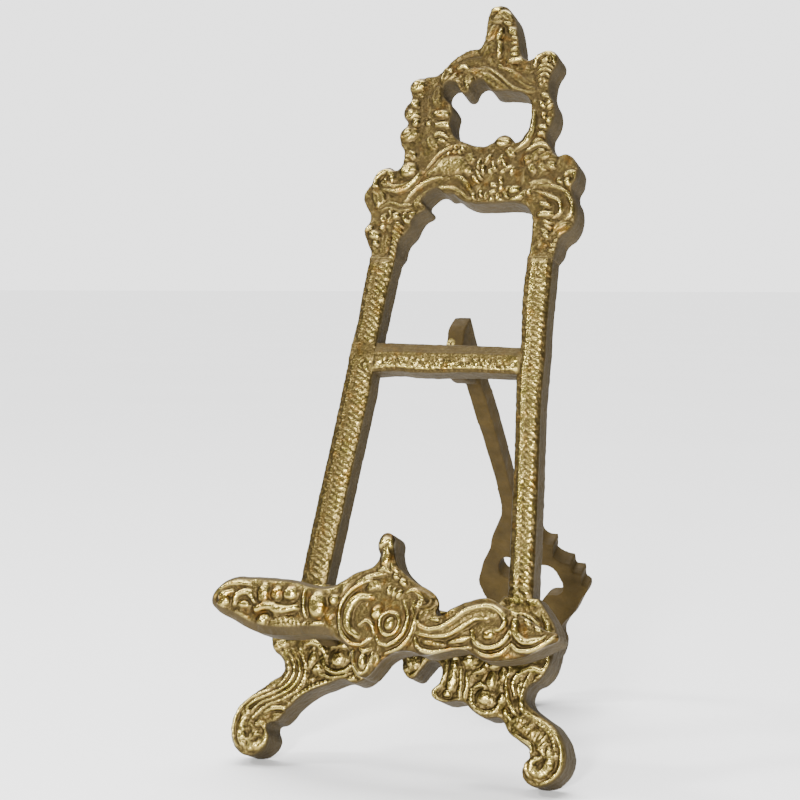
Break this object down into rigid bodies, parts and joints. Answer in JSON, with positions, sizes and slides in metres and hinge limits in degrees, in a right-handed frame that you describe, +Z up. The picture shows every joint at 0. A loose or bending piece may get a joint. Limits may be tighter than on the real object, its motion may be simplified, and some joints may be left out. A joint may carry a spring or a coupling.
{
  "type": "photo album stand",
  "caption": "Ornate brass tabletop easel: leaning open frame with pierced crest, scroll feet and front ledge, held up by a hinged rear leg that folds forward.",
  "frame": {"origin": "middle of the footprint, on the surface the stand rests on (centre of the bottom of the bounding box)", "axes": "+Z up, -Y towards the viewer of the album, +X to the viewer's right"},
  "size_m": [0.132, 0.1735, 0.2815],
  "materials": {
    "antique_brass": "cast brass, antiqued: dark brown patina in the recesses, rubbed bright gold on the high relief",
    "aged_brass": "cast brass left dull, even brown patina",
    "pin_brass": "turned brass, lightly tarnished"
  },
  "bodies": {
    "frame": {"crest": "antique_brass", "left_upright": "antique_brass", "right_upright": "antique_brass", "crossbar": "antique_brass", "leg_apron": "antique_brass", "ledge": "antique_brass", "ledge_arm_left": "antique_brass", "ledge_arm_right": "antique_brass", "crest_pin_left": "pin_brass", "crest_pin_right": "pin_brass", "foot_pin_left": "pin_brass", "foot_pin_right": "pin_brass", "crossbar_pin_left": "pin_brass", "crossbar_pin_right": "pin_brass", "ledge_pin_left": "pin_brass", "ledge_pin_right": "pin_brass", "arm_screw_left": "pin_brass", "arm_screw_right": "pin_brass", "hinge_pin": "pin_brass"},
    "rear_leg": {"rear_leg": "aged_brass"}
  },
  "joints": [
    {"name": "rear_leg_hinge", "type": "hinge", "parent": "frame", "child": "rear_leg", "pos_m": [-0.00237, 0.00112, 0.14232], "axis": [-1, 0, 0], "range_deg": [0, 55]}
  ]
}
